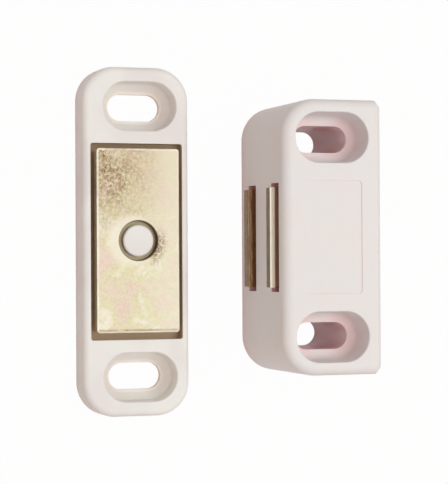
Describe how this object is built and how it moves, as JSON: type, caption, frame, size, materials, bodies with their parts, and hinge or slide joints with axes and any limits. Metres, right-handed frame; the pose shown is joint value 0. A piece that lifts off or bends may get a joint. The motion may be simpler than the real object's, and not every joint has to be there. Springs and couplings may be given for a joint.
{
  "type": "magnetic catch",
  "caption": "Magnetic catch for a cabinet door: slotted white body with floating steel pole plates, and a strike holder with a rocking steel plate on a staked post.",
  "frame": {"origin": "middle of the set's footprint, on the plane of both mounting faces", "axes": "+Z out of the mounting faces, +Y along both halves, +X from the strike towards the magnet body's rear face"},
  "size_m": [0.0458, 0.057, 0.02],
  "materials": {
    "white_plastic": "injection moulded, satin white",
    "passivated_steel": "zinc plated and yellow passivated sheet steel",
    "ferrite": "ground hard ferrite, dark grey"
  },
  "bodies": {
    "catch_set": {"magnet_housing": "white_plastic", "strike_holder": "white_plastic"},
    "magnet_pack": {"ferrite_magnet": "ferrite", "lower_pole_plate": "passivated_steel", "upper_pole_plate": "passivated_steel"},
    "rocking_plate": {"strike_plate": "passivated_steel"}
  },
  "joints": [
    {"name": "pack_press", "type": "slide", "parent": "catch_set", "child": "magnet_pack", "axis": [1, 0, 0], "range_m": [0, 0.0007]},
    {"name": "plate_rock", "type": "hinge", "parent": "catch_set", "child": "rocking_plate", "pos_m": [-0.01395, 0.00015, 0.004], "axis": [1, 0, 0], "range_deg": [-2.5, 2.5]}
  ]
}
